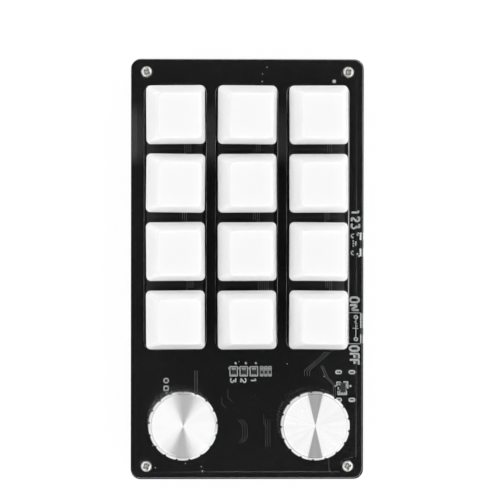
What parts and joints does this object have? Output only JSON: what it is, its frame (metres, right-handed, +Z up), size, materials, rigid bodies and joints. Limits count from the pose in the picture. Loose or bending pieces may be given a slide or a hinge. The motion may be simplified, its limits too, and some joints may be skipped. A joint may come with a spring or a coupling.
{
  "type": "macro keypad",
  "caption": "Flat clear-cased desk keypad with rows of white push keys over a black circuit board and a pair of turned push knobs.",
  "frame": {"origin": "on the desk under the middle of the case outline, at the feet's lowest face", "axes": "+X to the user's right, where the port and the side switches are; +Y away from the user, along the longest side; +Z up"},
  "size_m": [0.072, 0.13, 0.0366],
  "materials": {
    "clear_acrylic": "polished clear acrylic",
    "board_black": "black solder mask",
    "screw_steel": "plated steel",
    "standoff_brass": "turned brass",
    "foot_rubber": "soft rubber",
    "switch_black": "moulded black plastic",
    "spring_steel": "spring wire",
    "contact_metal": "tinned contacts",
    "stem_plastic": "moulded plastic",
    "cap_white": "satin white plastic",
    "encoder_plastic": "moulded plastic and tin",
    "encoder_metal": "die-cast and turned metal",
    "plunger_plastic": "moulded plastic",
    "knob_aluminium": "turned and spun aluminium",
    "grub_black": "blackened steel",
    "port_steel": "drawn steel",
    "port_black": "moulded plastic",
    "switch_shell": "folded steel",
    "lever_plastic": "moulded plastic",
    "battery_foil": "pouch foil",
    "tape": "foam tape",
    "lead_insulation": "wire insulation",
    "chip_black": "moulded package",
    "led_lens": "clear resin"
  },
  "bodies": {
    "case": {"bottom_plate": "clear_acrylic", "lower_frame": "clear_acrylic", "upper_frame": "clear_acrylic", "top_cover": "clear_acrylic", "circuit_board": "board_black", "top_screws": "screw_steel", "bottom_screws": "screw_steel", "standoffs": "standoff_brass", "rubber_feet": "foot_rubber", "switch_bases": "switch_black", "switch_covers": "switch_black", "switch_sockets": "switch_black", "key_springs": "spring_steel", "switch_pins": "contact_metal", "encoder_bodies": "encoder_plastic", "encoder_bushings": "encoder_metal", "usb_shell": "port_steel", "usb_tongue": "port_black", "layer_button_body": "port_black", "power_switch_body": "switch_shell", "battery": "battery_foil", "battery_tape": "tape", "battery_leads": "lead_insulation", "board_chips": "chip_black", "board_passives": "chip_black", "status_leds": "led_lens"},
    "key_r1c1": {"key_stem_r1c1": "stem_plastic", "keycap_r1c1": "cap_white"},
    "key_r1c2": {"key_stem_r1c2": "stem_plastic", "keycap_r1c2": "cap_white"},
    "key_r1c3": {"key_stem_r1c3": "stem_plastic", "keycap_r1c3": "cap_white"},
    "key_r2c1": {"key_stem_r2c1": "stem_plastic", "keycap_r2c1": "cap_white"},
    "key_r2c2": {"key_stem_r2c2": "stem_plastic", "keycap_r2c2": "cap_white"},
    "key_r2c3": {"key_stem_r2c3": "stem_plastic", "keycap_r2c3": "cap_white"},
    "key_r3c1": {"key_stem_r3c1": "stem_plastic", "keycap_r3c1": "cap_white"},
    "key_r3c2": {"key_stem_r3c2": "stem_plastic", "keycap_r3c2": "cap_white"},
    "key_r3c3": {"key_stem_r3c3": "stem_plastic", "keycap_r3c3": "cap_white"},
    "key_r4c1": {"key_stem_r4c1": "stem_plastic", "keycap_r4c1": "cap_white"},
    "key_r4c2": {"key_stem_r4c2": "stem_plastic", "keycap_r4c2": "cap_white"},
    "key_r4c3": {"key_stem_r4c3": "stem_plastic", "keycap_r4c3": "cap_white"},
    "left_push": {"encoder_plunger_left": "plunger_plastic"},
    "left_dial": {"encoder_shaft_left": "encoder_metal", "knob_left": "knob_aluminium", "knob_grub_screw_left": "grub_black"},
    "right_push": {"encoder_plunger_right": "plunger_plastic"},
    "right_dial": {"encoder_shaft_right": "encoder_metal", "knob_right": "knob_aluminium", "knob_grub_screw_right": "grub_black"},
    "power_lever": {"power_switch_lever": "lever_plastic"},
    "layer_plunger": {"layer_button_plunger": "lever_plastic"}
  },
  "joints": [
    {"name": "press_r1c1", "type": "slide", "parent": "case", "child": "key_r1c1", "axis": [0, 0, -1], "range_m": [0, 0.004], "stiffness_N_per_m": 100, "springref_m": -0.003, "deforming": ["key_springs"]},
    {"name": "press_r1c2", "type": "slide", "parent": "case", "child": "key_r1c2", "axis": [0, 0, -1], "range_m": [0, 0.004], "stiffness_N_per_m": 100, "springref_m": -0.003, "deforming": ["key_springs"]},
    {"name": "press_r1c3", "type": "slide", "parent": "case", "child": "key_r1c3", "axis": [0, 0, -1], "range_m": [0, 0.004], "stiffness_N_per_m": 100, "springref_m": -0.003, "deforming": ["key_springs"]},
    {"name": "press_r2c1", "type": "slide", "parent": "case", "child": "key_r2c1", "axis": [0, 0, -1], "range_m": [0, 0.004], "stiffness_N_per_m": 100, "springref_m": -0.003, "deforming": ["key_springs"]},
    {"name": "press_r2c2", "type": "slide", "parent": "case", "child": "key_r2c2", "axis": [0, 0, -1], "range_m": [0, 0.004], "stiffness_N_per_m": 100, "springref_m": -0.003, "deforming": ["key_springs"]},
    {"name": "press_r2c3", "type": "slide", "parent": "case", "child": "key_r2c3", "axis": [0, 0, -1], "range_m": [0, 0.004], "stiffness_N_per_m": 100, "springref_m": -0.003, "deforming": ["key_springs"]},
    {"name": "press_r3c1", "type": "slide", "parent": "case", "child": "key_r3c1", "axis": [0, 0, -1], "range_m": [0, 0.004], "stiffness_N_per_m": 100, "springref_m": -0.003, "deforming": ["key_springs"]},
    {"name": "press_r3c2", "type": "slide", "parent": "case", "child": "key_r3c2", "axis": [0, 0, -1], "range_m": [0, 0.004], "stiffness_N_per_m": 100, "springref_m": -0.003, "deforming": ["key_springs"]},
    {"name": "press_r3c3", "type": "slide", "parent": "case", "child": "key_r3c3", "axis": [0, 0, -1], "range_m": [0, 0.004], "stiffness_N_per_m": 100, "springref_m": -0.003, "deforming": ["key_springs"]},
    {"name": "press_r4c1", "type": "slide", "parent": "case", "child": "key_r4c1", "axis": [0, 0, -1], "range_m": [0, 0.004], "stiffness_N_per_m": 100, "springref_m": -0.003, "deforming": ["key_springs"]},
    {"name": "press_r4c2", "type": "slide", "parent": "case", "child": "key_r4c2", "axis": [0, 0, -1], "range_m": [0, 0.004], "stiffness_N_per_m": 100, "springref_m": -0.003, "deforming": ["key_springs"]},
    {"name": "press_r4c3", "type": "slide", "parent": "case", "child": "key_r4c3", "axis": [0, 0, -1], "range_m": [0, 0.004], "stiffness_N_per_m": 100, "springref_m": -0.003, "deforming": ["key_springs"]},
    {"name": "left_knob_press", "type": "slide", "parent": "case", "child": "left_push", "axis": [0, 0, -1], "range_m": [0, 0.0005], "stiffness_N_per_m": 1500, "springref_m": -0.0015},
    {"name": "left_knob_turn", "type": "hinge", "parent": "left_push", "child": "left_dial", "pos_m": [-0.0202, -0.0475, 0.0266], "axis": [0, 0, 1], "continuous": true},
    {"name": "right_knob_press", "type": "slide", "parent": "case", "child": "right_push", "axis": [0, 0, -1], "range_m": [0, 0.0005], "stiffness_N_per_m": 1500, "springref_m": -0.0015},
    {"name": "right_knob_turn", "type": "hinge", "parent": "right_push", "child": "right_dial", "pos_m": [0.0202, -0.0475, 0.0266], "axis": [0, 0, 1], "continuous": true},
    {"name": "layer_button_press", "type": "slide", "parent": "case", "child": "layer_plunger", "axis": [-1, 0, 0], "range_m": [0, 0.0003], "stiffness_N_per_m": 500, "springref_m": -0.003},
    {"name": "power_switch_slide", "type": "slide", "parent": "case", "child": "power_lever", "axis": [0, 1, 0], "range_m": [0, 0.002]}
  ]
}
